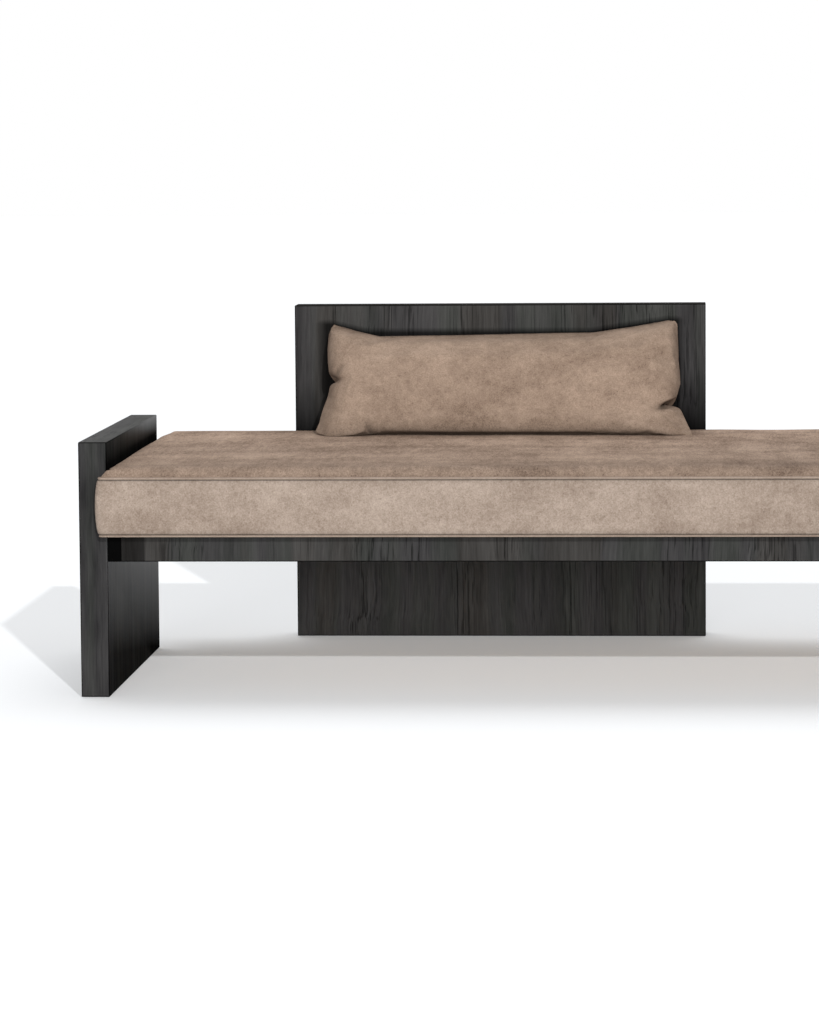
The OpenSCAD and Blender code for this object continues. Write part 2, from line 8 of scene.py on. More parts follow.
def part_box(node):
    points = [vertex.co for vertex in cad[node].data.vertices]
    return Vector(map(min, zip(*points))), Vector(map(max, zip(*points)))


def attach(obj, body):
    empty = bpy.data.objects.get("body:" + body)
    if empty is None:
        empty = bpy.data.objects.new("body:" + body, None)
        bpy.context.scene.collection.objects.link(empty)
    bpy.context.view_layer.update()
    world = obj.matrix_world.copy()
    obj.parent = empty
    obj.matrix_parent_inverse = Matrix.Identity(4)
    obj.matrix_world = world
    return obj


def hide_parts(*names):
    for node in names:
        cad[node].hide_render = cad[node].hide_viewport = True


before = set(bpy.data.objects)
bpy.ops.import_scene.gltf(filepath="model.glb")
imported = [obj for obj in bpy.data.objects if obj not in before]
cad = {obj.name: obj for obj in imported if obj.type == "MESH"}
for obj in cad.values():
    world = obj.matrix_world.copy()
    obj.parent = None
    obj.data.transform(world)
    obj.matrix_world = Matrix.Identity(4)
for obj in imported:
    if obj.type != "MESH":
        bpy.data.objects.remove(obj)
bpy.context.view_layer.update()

# Camera. It stands 7.5 m from the bench's middle and 1 m up, and looks slightly left and down
# through a long lens, so that over a third of the bench lies outside the picture at the right.
camera_place = Vector((0.0036, -7.5255, 0.9897))
turn_left, tilt_down, roll = (math.radians(a) for a in (3.8319, 5.345, -0.4209))
lens_mm, sensor_mm = 143.62, 36

ahead = Vector((
    -math.sin(turn_left) * math.cos(tilt_down),
    math.cos(turn_left) * math.cos(tilt_down),
    -math.sin(tilt_down),
))
level = Vector((math.cos(turn_left), math.sin(turn_left), 0))
upright = level.cross(ahead)
right = level * math.cos(roll) + upright * math.sin(roll)
up = upright * math.cos(roll) - level * math.sin(roll)
lens = bpy.data.cameras.new("camera")
lens.lens, lens.sensor_width = lens_mm, sensor_mm
camera = bpy.data.objects.new("camera", lens)
turned = Matrix((right, up, -ahead)).transposed().to_4x4()
camera.matrix_world = Matrix.Translation(camera_place) @ turned
bpy.context.scene.collection.objects.link(camera)
bpy.context.scene.camera = camera
bpy.context.scene.view_settings.view_transform = "Standard"


# Studio. A white floor that runs on into a white backdrop, an even sky of light, a low key light
# from the front right whose crisp shadows fall back to the left, a wide soft light overhead and a
# little behind, and a weak soft one low in front. Each lamp has a strength, its height and side in
# degrees, and its width as seen from the bench. The floor glows a little towards the camera, which
# lifts its shadows.
sky_strength = 0.35
lamps = {
    "key": (2.35, 22, 16.8, 0.9),
    "overhead": (1.5, 65, 180, 50),
    "front_fill": (2.05, 5, -4, 16),
}
floor_half = 40.0
floor_white = (0.925, 0.947, 0.972, 1)
lifted_shadows = 0.25


class Wire:
    """One output socket of a shader. Sums, differences and products add Math nodes."""

    def __init__(self, tree, socket):
        self.tree, self.socket = tree, socket

    def add(self, kind, settings, values, out=0):
        """Adds a node: its settings first, then the values or wires of its sockets."""
        node = self.tree.nodes.new("ShaderNode" + kind)
        for name, value in settings.items():
            setattr(node, name, value)
        for name, value in values.items():
            self.plug(value, node.inputs[name])
        return Wire(self.tree, node.outputs[out])

    def plug(self, value, socket):
        if isinstance(value, Wire):
            self.tree.links.new(value.socket, socket)
        else:
            socket.default_value = value

    def maths(self, operation, a, b):
        return self.add("Math", {"operation": operation}, {0: a, 1: b})

    def __add__(self, other):
        return self.maths("ADD", self, other)

    def __sub__(self, other):
        return self.maths("SUBTRACT", self, other)

    def __rsub__(self, other):
        return self.maths("SUBTRACT", other, self)

    def __mul__(self, other):
        return self.maths("MULTIPLY", self, other)

    __radd__, __rmul__ = __add__, __mul__

    def least(self, other):
        return self.maths("MINIMUM", self, other)

    def most(self, other):
        return self.maths("MAXIMUM", self, other)

    def size(self):
        """The number without its sign."""
        return self.maths("ABSOLUTE", self, 0)

    def between(self, low, high, first=0.0, last=1.0):
        """Runs from first to last while the wire goes from low to high, and stays there beyond."""
        return self.add("MapRange", {}, {0: self, 1: low, 2: high, 3: first, 4: last})

    def mix(self, first, second):
        """The first colour where the wire is 0 and the second where it is 1."""
        return self.add("Mix", {"data_type": "RGBA"}, {0: self, 6: first, 7: second}, out=2)

    def shaded(self, shade):
        """This colour multiplied by a number."""
        settings = {"data_type": "RGBA", "blend_type": "MULTIPLY"}
        return self.add("Mix", settings, {0: 1.0, 6: self, 7: shade}, out=2)

    def split(self):
        """X, y and z of a place or a direction."""
        node = self.add("SeparateXYZ", {}, {0: self}).socket.node
        return [Wire(self.tree, output) for output in node.outputs]

    def stretched(self, factors):
        return self.add("VectorMath", {"operation": "MULTIPLY"}, {0: self, 1: factors})

    def moved(self, offset):
        return self.add("VectorMath", {"operation": "ADD"}, {0: self, 1: offset})

    def noise(self, scale, detail=2.0, roughness=0.5):
        """Smooth noise at this place, with its scale in bumps to the metre."""
        values = {"Vector": self, "Scale": scale, "Detail": detail, "Roughness": roughness}
        return self.add("TexNoise", {}, values)


def seen_directly(wire):
    """1 for camera, mirror and glass rays, which see the backdrop, and 0 for rays that light."""
    rays = [wire.add("LightPath", {}, {}, out=name) for name in
            ("Is Camera Ray", "Is Glossy Ray", "Is Transmission Ray")]
    return rays[0].most(rays[1]).most(rays[2])


world = bpy.data.worlds.new("studio")
bpy.context.scene.world = world
world.use_nodes = True
sky = world.node_tree.nodes["Background"]
sky.inputs["Color"].default_value = (1, 1, 1, 1)
sky_wire = Wire(world.node_tree, sky.outputs[0])
sky_wire.plug(seen_directly(sky_wire).between(0, 1, sky_strength, 1.0), sky.inputs["Strength"])

for name, (strength, height, side, width) in lamps.items():
    light = bpy.data.lights.new(name, "SUN")
    light.energy, light.angle = strength, math.radians(width)
    lamp = bpy.data.objects.new(name, light)
    height, side = math.radians(height), math.radians(side)
    source = Vector((
        math.sin(side) * math.cos(height),
        -math.cos(side) * math.cos(height),
        math.sin(height),
    ))
    lamp.rotation_mode = "QUATERNION"
    lamp.rotation_quaternion = source.to_track_quat("Z", "Y")
    bpy.context.scene.collection.objects.link(lamp)


def mesh_piece(name, points, faces, smooth=True):
    """An object at the origin whose mesh has these points, (n, 3) in metres, and faces."""
    mesh = bpy.data.meshes.new(name)
    points = np.asarray(points, float).reshape(-1, 3)
    mesh.from_pydata(points.tolist(), [], np.asarray(faces).tolist())
    mesh.polygons.foreach_set("use_smooth", np.full(len(mesh.polygons), smooth))
    piece = bpy.data.objects.new(name, mesh)
    bpy.context.scene.collection.objects.link(piece)
    return piece


corners = np.array([[-1, -1, 0], [1, -1, 0], [1, 1, 0], [-1, 1, 0]]) * floor_half
floor = mesh_piece("floor", corners, [[0, 1, 2, 3]], smooth=False)
floor_paint = bpy.data.materials.new("floor_paint")
floor_paint.use_nodes = True
floor_tree = floor_paint.node_tree
floor_tree.nodes.remove(floor_tree.nodes["Principled BSDF"])
lit = Wire(floor_tree, floor_tree.nodes.new("ShaderNodeBsdfDiffuse").outputs[0])
lit.plug(floor_white, lit.socket.node.inputs["Color"])
glow = lit.add("Emission", {}, {"Color": (1, 1, 1, 1), "Strength": 1.0})
paint = lit.add("MixShader", {}, {0: seen_directly(lit) * lifted_shadows, 1: lit, 2: glow})
lit.plug(paint, floor_tree.nodes["Material Output"].inputs["Surface"])
floor.data.materials.append(floor_paint)


# Oak boards: two end panels, the back panel and the two fascias. Each is a core board veneered in
# open-pored oak, stained charcoal, with the grain upright; the edges are lipped and show darker.
oak_dark, oak_light = (0.009, 0.0088, 0.0088, 1), (0.051, 0.0497, 0.0485, 1)
oak_green, oak_violet = (0.0285, 0.031, 0.0275, 1), (0.030, 0.0285, 0.0300, 1)
oak_brown = (0.0325, 0.0295, 0.0265, 1)
oak_roughness, wax_roughness = 0.62, 0.32
# The hues' share of the colour, and how far the figure is drawn out along the grain
hue_share, along_grain = 0.42, 0.045
# Width of the lipping and how much it darkens; length of a fascia's darker end and its tone
lipping, lipping_shade = 0.0021, 0.85
fascia_end, fascia_end_tone = 0.043, 0.34


def finish_of(name, roughness, level=0.5):
    """A new material: itself, its Principled shader and a wire of Object coordinates. Its level
    is how strongly it reflects."""
    material = bpy.data.materials.new(name)
    material.use_nodes = True
    shader = material.node_tree.nodes["Principled BSDF"]
    shader.inputs["Roughness"].default_value = roughness
    shader.inputs["Specular IOR Level"].default_value = level
    place = material.node_tree.nodes.new("ShaderNodeTexCoord").outputs["Object"]
    return material, shader, Wire(material.node_tree, place)


def surfaced(shader, colour, roughness=None, bump=None):
    """Links a finish's colour, its roughness, and a bump given as strength, depth and height."""
    colour.plug(colour, shader.inputs["Base Color"])
    if roughness is not None:
        colour.plug(roughness, shader.inputs["Roughness"])
    if bump is not None:
        strength, depth, height = bump
        relief = {"Strength": strength, "Distance": depth, "Height": height}
        colour.plug(colour.add("Bump", {}, relief), shader.inputs["Normal"])


def paint_nodes(material, *names):
    """Gives CAD nodes one finish, in every slot."""
    for name in names:
        mesh = cad[name].data
        if not mesh.materials:
            mesh.materials.append(material)
        for i in range(len(mesh.materials)):
            mesh.materials[i] = material


def edge_mask(place, low, high, width):
    """1 within a width of any edge of a box, where the second smallest distance to its sides is
    small."""
    x, y, z = ((part - low[i]).least(high[i] - part) for i, part in enumerate(place.split()))
    return x.least(y).most(x.most(y).least(z)).between(width * 0.6, width, 1.0, 0.0)


def oak(node, edge_along, seed, strength=1.0, figured=0.0, darker_ends=False, painted_light_and_shade=None,
        waxed=None):
    """Veneer of one board: upright grain on its faces, and grain along X or Y on its top edge.
    Plain light figure alternates with clusters of fine dark lines, all bent a little. A function
    of the place, given for painted light and shade, darkens the colour as painted shade where it
    goes up to 1 and lightens it as painted light where it goes below 0; waxed is the weight of a
    thin satin coat."""
    low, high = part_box(node)
    material, shader, place = finish_of("oak_" + node, oak_roughness, level=0.0)
    facing = place.add("NewGeometry", {}, {}, out="True Normal").split()[2]
    flat = facing.size().between(0.6, 0.8)
    bend = (place.stretched((2.2, 2.2, 5)).noise(1.6, 2) - 0.5) * 0.014
    bent = place.moved(bend)
    lying = (along_grain, 1, 1) if edge_along == "X" else (1, along_grain, 1)
    grain = flat.mix(bent.stretched((1, 1, along_grain)), bent.stretched(lying))
    grain = grain.moved((seed, seed * 1.7, seed * 0.6))
    bands = grain.noise(20, 3, 0.55)
    figure = grain.stretched((1, 1, 2.5)).noise(42, 3, 0.5)
    streaks = grain.noise(120, 3, 0.6)
    fine = grain.noise(340, 2, 0.65)
    flames = (grain.stretched((1, 1, 3)).moved((4.4, 1.9, 0.7)).noise(54, 2, 0.5) - 0.5) * figured
    tone = (bands * 1.15 + figure * 0.65 + streaks * 0.9 + fine * 0.9 + flames).between(1.3, 2.3)

    hue = grain.moved((3.1, 0.4, 0.2)).noise(19, 2).between(0.42, 0.58).mix(oak_green, oak_violet)
    brown = grain.moved((0.2, 5.4, 0.9)).noise(11, 2).between(0.52, 0.60)
    hues = {0: hue_share, 6: tone.mix(oak_dark, oak_light), 7: brown.mix(hue, oak_brown)}
    colour = place.add("Mix", {"data_type": "RGBA"}, hues, out=2)

    clusters = grain.moved((1.7, 0.9, 0.3)).noise(15, 2, 0.5).between(0.46, 0.60)
    long_grain = flat.mix(bent.stretched((1, 1, along_grain * 0.35)), bent.stretched(lying))
    lines = long_grain.moved((seed + 0.6, 2.1, 0.8)).noise(280, 2, 0.7)
    lines = lines.between(0.36, 0.47, 1.0, 0.0)
    spread = 0.07 + figured * 0.03
    drift = bent.stretched((1, 1, 0.45)).moved((0.9, seed, 2.2)).noise(13, 2)
    drift = drift.between(0.36, 0.64, 1 - spread, 1 + spread)
    edges = edge_mask(place, low, high, lipping)
    shade = (1 - edges * lipping_shade) * (1 - lines * (clusters * 0.5 + 0.12)) * strength * drift
    # Painted shade, and painted light where the function goes below 0, by place.
    if painted_light_and_shade:
        shade = shade * (1 - painted_light_and_shade(place))
    if darker_ends:
        x = place.split()[0]
        inset = (x - low[0]).least(high[0] - x)
        shade = shade * inset.between(fascia_end - 0.002, fascia_end + 0.002, fascia_end_tone, 1.0)
    if waxed:
        place.plug(waxed(place), shader.inputs["Coat Weight"])
        shader.inputs["Coat Roughness"].default_value = wax_roughness

    roughness = streaks.between(0.35, 0.65, oak_roughness + 0.10, oak_roughness - 0.04)
    surfaced(shader, colour.shaded(shade), roughness, (0.35, 0.0006, tone - lines * clusters))
    paint_nodes(material, node)


# What the painted light and shade and the wax of the boards follow: the pillow's middle and height
# on the back panel, the mattress's top, and the faces of the panels.
pillow_low, pillow_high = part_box("pillow_front_panel")
pillow_middle = (pillow_low[0] + pillow_high[0]) / 2
mattress_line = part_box("seat_top_panel")[1][2]
pillow_top = mattress_line + 0.185
inner_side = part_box("right_end_panel")[0][0]
back_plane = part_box("back_panel")[0][1]
end_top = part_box("left_end_panel")[1][2]


def beside_mattress(z):
    """1 above the platform, from the place's height, and 0 under it."""
    return z.between(mattress_line - 0.16, mattress_line - 0.14)


def back_panel_painted_light_and_shade(place):
    """Painted shade on the back panel's front face, for the shadow of the pillow and the mattress:
    deepest inside the pillow's outline, falling within 12 mm above it, and from the mattress
    upwards over 118 mm. Left of the pillow it is a little deeper too, and under the platform
    painted light makes the panel a little paler."""
    x, y, z = place.split()
    x = x - pillow_middle
    aside = x.between(-0.443, -0.343, 0.04, 0.0).most(x.between(0.338, 0.438, 0.0, 0.09))
    left_ear = x.between(-0.335, -0.245, pillow_top + 0.021, pillow_top)
    right_ear = x.between(0.168, 0.315, pillow_top + 0.004, pillow_top + 0.026)
    over = (z - left_ear.most(right_ear)).most(0.0)
    squares = aside * aside + over * over
    near = squares.maths("SQRT", squares, 0).between(0.001, 0.0115, 0.80, 0.0)
    low = z.between(mattress_line, mattress_line + 0.118, 0.85, 0.0)
    left = x.between(-0.40, -0.34, 0.18, 0.0)
    painted_light_below = z.between(0.22, 0.26, 0.16, 0.0)
    front_face = y.between(back_plane + 0.001, back_plane + 0.004, 1.0, 0.0)
    return (near.most(low).most(left) * beside_mattress(z) - painted_light_below) * front_face


def inner_face(x):
    """1 on the face of an end panel that looks at the mattress, from the place's x."""
    return x.size().between(inner_side + 0.001, inner_side + 0.003, 1.0, 0.0)


def end_panel_painted_light_and_shade(place):
    """Painted shade on the inner faces of the end panels, near the floor and near the mattress,
    and on their other faces painted light near the top, with a little painted shade lower down."""
    x, _, z = place.split()
    low = z.between(0.02, 0.20, 0.45, 0.0)
    upper = z.between(mattress_line + 0.004, mattress_line + 0.040, 0.80, 0.0) * beside_mattress(z)
    faces = inner_face(x)
    return low.most(upper) * faces + z.between(0.34, 0.44, 0.06, -0.20) * (1 - faces)


def waxed_inside(place):
    """The wax on those faces, rubbed away by the mattress, by hands in front and by mopping, and
    the thinner wax on the top edge."""
    x, y, z = place.split()
    upper = z.between(mattress_line + 0.010, mattress_line + 0.042)
    upper = upper * y.between(-0.36, 0.12, 0.0, 0.50)
    lower = (z + y * 0.10).between(0.03, 0.20, 0.0, 0.40) * z.between(0.27, 0.30, 1.0, 0.0)
    top_edge = z.between(end_top - 0.0010, end_top - 0.0002, 0.0, 0.20)
    return (upper.most(lower) * inner_face(x)).most(top_edge)


for node, seed in (("left_end_panel", 0.0), ("right_end_panel", 4.7)):
    oak(node, "Y", seed, strength=0.98, figured=1.5, painted_light_and_shade=end_panel_painted_light_and_shade, waxed=waxed_inside)
oak("back_panel", "X", seed=9.3, strength=1.24, painted_light_and_shade=back_panel_painted_light_and_shade)
for node, seed in (("front_fascia", 14.9), ("rear_fascia", 21.2)):
    oak(node, "X", seed, strength=1.10, darker_ends=True)


# Side sections and inner beams. Folded sheet steel, powder-coated matt black with the fine
# orange-peel of the coat; plastic caps close the side sections' ends.
def coated(name, colour, roughness):
    """Powder coat or moulded plastic: one colour with a fine uneven skin."""
    material, shader, place = finish_of(name, roughness, level=0.0)
    skin = place.noise(420, 3, 0.6)
    cloud = place.noise(18, 3)
    lighter = tuple(c * 1.35 for c in colour[:3]) + (1,)
    tone = (cloud * 0.6 + skin * 0.4).between(0.35, 0.65).mix(colour, lighter)
    uneven = skin.between(0.3, 0.7, roughness - 0.06, roughness + 0.08)
    surfaced(shader, tone, uneven, (0.25, 0.0003, skin))
    return material


# The side sections and caps are nearly black, darker than powder coat: their black coat plus
# painted shade for the narrow gap between end panel and platform.
section_black_and_painted_shade = coated("section_black_and_painted_shade", (0.0005, 0.0005, 0.0005, 1), 0.75)
beam_black = coated("beam_black", (0.009, 0.009, 0.0095, 1), 0.5)
cap_black_and_painted_shade = coated("cap_black_and_painted_shade", (0.0014, 0.0014, 0.0014, 1), 0.7)
cross_beams = [f"cross_beam_{number}" for number in (1, 2, 3, 4)]
paint_nodes(section_black_and_painted_shade, "left_side_section", "right_side_section")
paint_nodes(beam_black, "front_beam", "rear_beam", *cross_beams)
paint_nodes(cap_black_and_painted_shade, "section_caps")


# Deck. Birch plywood, sanded, with long grain along the bench and glued plies at its edges.
plies = 9
birch_dark, birch_light = (0.40, 0.25, 0.13, 1), (0.56, 0.39, 0.22, 1)
ply_dark, ply_light = (0.22, 0.12, 0.055, 1), (0.50, 0.35, 0.20, 1)
deck_low, deck_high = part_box("deck_board")
deck_skin, deck_shader, place = finish_of("birch_plywood", 0.6, level=0.3)
figure = place.stretched((0.08, 1, 1)).noise(60, 4, 0.6)
fibre = place.stretched((0.05, 1, 1)).noise(420, 3)
birch = (figure * 0.6 + fibre * 0.4).between(0.35, 0.65).mix(birch_dark, birch_light)
layers = (place.split()[2] - deck_low[2]) * (plies * math.pi / (deck_high[2] - deck_low[2]))
edge = layers.maths("SINE", layers, 0).between(-0.2, 0.2).mix(ply_dark, ply_light)
facing = place.add("NewGeometry", {}, {}, out="True Normal").split()[2]
deck_colour = facing.size().between(0.5, 0.6).mix(edge, birch)
surfaced(deck_shader, deck_colour, bump=(0.2, 0.0003, fibre))
paint_nodes(deck_skin, "deck_board")


# Bolts, washers, screws and threaded inserts. Zinc-plated steel, and turned brass for the inserts.
def metal(name, colour, roughness):
    """Bare or plated metal with fine turning marks and a cloudy lustre."""
    material, shader, place = finish_of(name, roughness)
    marks = place.noise(2500, 2).between(0.3, 0.7, roughness - 0.08, roughness + 0.12)
    darker = tuple(c * 0.7 for c in colour[:3]) + (1,)
    surfaced(shader, place.noise(90, 3).between(0.35, 0.65).mix(darker, colour), marks)
    shader.inputs["Metallic"].default_value = 1.0
    return material


zinc = metal("zinc", (0.50, 0.50, 0.52, 1), 0.35)
brass = metal("turned_brass", (0.62, 0.44, 0.18, 1), 0.3)
paint_nodes(zinc, "deck_screws", "fascia_screws")
paint_nodes(zinc, "end_bolts", "end_washers", "back_bolts", "back_washers")
paint_nodes(brass, "end_inserts", "back_inserts")


# Glides. Turned black plastic discs, pressed into recesses under the panels.
glide_black = coated("glide_black", (0.02, 0.02, 0.02, 1), 0.45)
paint_nodes(glide_black, "end_panel_glides", "back_panel_glides")


# Mattress cover. Nubuck leather over foam and wadding: a crowned top, a standing border and a
# plain underside, sewn together with a piping in both seams. The top presses against the end
# panels, and its free front corners swell round their front edges.
play, nose_gap, nose_reach, rear_corner = 0.0005, 0.005, 0.0052, 0.014
pipe_r = 0.0025
# Widths over which the crown rises from each seam, and the powers of its rise
front_run, rear_run, side_run, nose_run, free_side_run = 0.06, 0.026, 0.005, 0.017, 0.007
crown_power, side_power = 2.6, 1.45
# How deep the side rim is pinched at the end panel's front edge, and over what length
pinch, pinch_run = 0.78, 0.010
# How far the border swells between its seams, and the powers of its bulge
front_swell, side_swell, rear_swell = 0.005, 0.0021, 0.0004
nose_swell, nose_back_swell = 0.003, 0.0025
swell_power, nose_power = 0.66, 0.42
# Height of the puckers along the seams and of the slow waves of the hide
pucker_high, uneven_high = 0.0004, 0.0007
# Depth of the lines beside the pipings, and each one's distance from its seam and width
groove_deep = 0.0010
upper_groove, lower_groove = (0.0026, 0.0009), (0.0020, 0.0014)

pipe_low, pipe_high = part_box("seat_top_piping")
seam_top = (pipe_high[2] + pipe_low[2]) / 2
low_pipe_low, low_pipe_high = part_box("seat_bottom_piping")
seam_bottom = (low_pipe_high[2] + low_pipe_low[2]) / 2
crown_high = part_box("seat_top_panel")[1][2] - seam_top
mattress_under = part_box("seat_bottom_panel")[0][2]
(_, panel_front, _), (_, panel_rear, _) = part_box("right_end_panel")
seam_front, seam_rear = pipe_low[1] + pipe_r, pipe_high[1] - pipe_r
seam_side = inner_side - play - pipe_r
nose_r = (panel_front - seam_front - nose_gap) / 2
nose_y = seam_front + nose_r


def side_line():
    """Half widths and depths of the seam along one side: a nose in front of the end panel, a
    straight run beside it and a round rear corner."""
    nose = np.radians(np.linspace(-90, 90, 13))
    front_part = np.array([0, 2.5, 5, 8, 11, 15, 19, 24, 29, 35, 42, 50, 59, 69, 80, 92]) / 1000
    rear_part = np.array([14, 16.5, 19.5, 23, 27, 32, 38, 46, 56, 68, 82])[::-1] / 1000
    start, stop = panel_front - 0.002 + front_part, seam_rear - rear_part
    run = np.concatenate([start[:-1], np.linspace(start[-1], stop[0], 48), stop[1:]])
    turn = np.radians(np.linspace(0, 90, 8))[1:]
    x = np.concatenate([
        seam_side + nose_reach + nose_r * np.cos(nose),
        np.full(len(run), seam_side),
        seam_side - rear_corner + rear_corner * np.cos(turn),
    ])
    y = np.concatenate([
        nose_y + nose_r * np.sin(nose),
        run,
        seam_rear - rear_corner + rear_corner * np.sin(turn),
    ])
    return x, y


# Columns of the cover's grid, as shares of its half width, closest together at the seams
edge_steps = np.array([0, 0.4, 0.9, 1.6, 2.5, 3.6, 5, 7, 9.5, 13, 18, 24, 32, 41, 52, 65, 80, 96,
                       113, 131]) / 1000
start, stop = edge_steps - 1, 1 - edge_steps[::-1]
even = np.linspace(start[-1], stop[0], round((stop[0] - start[-1]) / 0.013) + 1)
across = np.concatenate([start[:-1], even, stop[1:]])
side_x, side_y = side_line()
rows, columns = len(side_y), len(across)
flat_x = across[None, :] * side_x[:, None]
flat_y = np.repeat(side_y[:, None], columns, 1)


def rise(distance, run, power):
    """Share of a height at a distance from a seam: steep at the seam, level at the run's end."""
    return 1 - (1 - np.clip(distance, 0, run) / run) ** power


def eased(low, high, value):
    """0 below low, 1 above high and a smooth S between them."""
    t = np.clip((value - low) / (high - low), 0, 1)
    return t * t * (3 - 2 * t)


def waves(s, lengths, seed):
    """A sum of sines along s, in metres, with seeded phases; each has its own wave length."""
    phases = np.random.default_rng(seed).uniform(0, 2 * np.pi, len(lengths))
    total = sum(np.sin(2 * np.pi * s / length + phase) for length, phase in zip(lengths, phases))
    return total / len(lengths)


# Top and underside: each point's distance from every seam, how far the crown has risen there, and
# the puckers and slow waves of the hide. Beside an end panel the rim is narrow and steep.
from_side = side_x[:, None] - np.abs(flat_x)
from_front, from_rear = flat_y - seam_front, seam_rear - flat_y
nearest = np.minimum(from_side, np.minimum(from_front, from_rear))
beside_panel = eased(panel_front - 0.004, panel_front + 0.01, flat_y)
free_rear = eased(panel_rear, seam_rear - 0.05, flat_y)
side_width = nose_run + (side_run - nose_run) * beside_panel + free_side_run * free_rear
side_width = side_width * (1 - pinch * np.exp(-((flat_y - panel_front) / pinch_run) ** 2))
side_rise = rise(from_side, side_width, side_power) ** (1 - 0.5 * beside_panel)
front_width = front_run * (1 - 0.3 * eased(0.9, 0.985, np.abs(flat_x)))
front_rise = rise(from_front, front_width, crown_power)
rear_rise = rise(from_rear, rear_run, crown_power) ** 0.8
full_high = crown_high * (0.965 + 0.11 * eased(seam_front, 0.2, flat_y))
top_z = seam_top + full_high * side_rise * front_rise * rear_rise

pucker = waves(flat_x + 0.3 * flat_y, (0.041, 0.067, 0.113), 3)
pucker = pucker * np.exp(-from_front / 0.025) * eased(0, 0.008, from_front) * side_rise
slow = waves(flat_x, (0.61, 0.37), 5) * waves(flat_y, (0.43, 0.71), 6)
slow = slow + 0.5 * waves(flat_x + 0.8 * flat_y, (0.23, 0.17), 7)
slow = slow * side_rise * rear_rise * eased(0, 0.05, from_front)
top_z = top_z + pucker_high * pucker + uneven_high * slow
pressed = side_swell * 4 * side_rise * (1 - side_rise) * beside_panel
top_x = flat_x + np.sign(flat_x) * pressed
under_z = mattress_under + (seam_bottom - mattress_under) * np.exp(-nearest / 0.003)

top_index = np.arange(rows * columns).reshape(rows, columns)


def rim(index):
    """The outer points of a grid, once round, counterclockwise seen from above."""
    return np.concatenate([index[0, :-1], index[:-1, -1], index[-1, :0:-1], index[:0:-1, 0]])


def quads(index):
    """The faces of a grid of point numbers."""
    corners = index[:-1, :-1], index[:-1, 1:], index[1:, 1:], index[1:, :-1]
    return np.stack(corners, -1).reshape(-1, 4)


def strip(upper, lower):
    """Faces between two closed rings of point numbers, facing out."""
    return np.stack([upper, lower, np.roll(lower, -1), np.roll(upper, -1)], -1)


def outward_of(line):
    """Unit normals of a closed line in the XY plane, run counterclockwise."""
    step = np.roll(line, -1, 0) - np.roll(line, 1, 0)
    normal = np.stack([step[:, 1], -step[:, 0]], -1)
    return normal / np.linalg.norm(normal, axis=1, keepdims=True)


seam_index = rim(top_index)
seam = np.stack([flat_x, flat_y], -1).reshape(-1, 2)[seam_index]
outward = outward_of(seam)
seam_run = np.cumsum(np.linalg.norm(seam - np.roll(seam, 1, 0), axis=1))
at_nose = seam[:, 1] < panel_front - nose_gap - play
at_side = seam[:, 1] < seam_rear - rear_corner
facing_back = np.clip(outward[:, 1], 0, 1)
nose_line = front_swell + (nose_back_swell - front_swell) * facing_back
nose_line = nose_line + nose_swell * np.abs(outward[:, 0]) ** 2
swell = np.where(at_nose, nose_line, np.where(at_side, side_swell, rear_swell))
# Levels of the border's rings, as shares of the way down, close together at both seams
near_seam = np.array([0.012, 0.022, 0.031, 0.04, 0.055, 0.085, 0.12, 0.17])
levels = np.concatenate([near_seam, np.linspace(0.24, 0.76, 8), 1 - near_seam[::-1]])


def in_groove(depth):
    """The line where the border turns in under the upper piping, 1 at its deepest, and the fainter
    one over the lower piping: a bell curve of the distance from each seam."""
    from_below = seam_top - seam_bottom - depth
    upper = np.exp(-((depth - upper_groove[0]) / upper_groove[1]) ** 2)
    return upper + 0.8 * np.exp(-((from_below - lower_groove[0]) / lower_groove[1]) ** 2)


# Border: rings of the seam line at each level, pushed out by the swell between the seams
border_rings = []
for t in levels:
    depth = (seam_top - seam_bottom) * np.array([t, 1 - t])
    bulge = swell * np.sin(np.pi * t) ** np.where(at_nose, nose_power, swell_power)
    fade = (np.exp(-depth / 0.016) * np.clip(depth / 0.004, 0, 1)).sum()
    ripple = pucker_high * fade * waves(seam_run, (0.043, 0.071, 0.127), 8) * (swell > side_swell)
    sunk = groove_deep * in_groove(depth[0])
    ring = seam + outward * (bulge + ripple - sunk)[:, None]
    border_rings.append(np.column_stack([ring, np.full(len(seam), seam_top - depth[0])]))

top_points = np.stack([top_x, flat_y, top_z], -1).reshape(-1, 3)
under_points = np.stack([flat_x, flat_y, under_z], -1).reshape(-1, 3)
cover_points = np.concatenate([top_points, under_points, *border_rings])
under_index = top_index + len(top_points)
ring_index = np.arange(len(levels) * len(seam)).reshape(len(levels), len(seam))
ring_index = ring_index + 2 * len(top_points)
rings = [seam_index, *ring_index, rim(under_index)]
border_faces = [strip(upper, lower) for upper, lower in zip(rings[:-1], rings[1:])]
cover_faces = np.concatenate([quads(top_index), quads(under_index)[:, ::-1], *border_faces])
cover = mesh_piece("mattress_cover", cover_points, cover_faces)


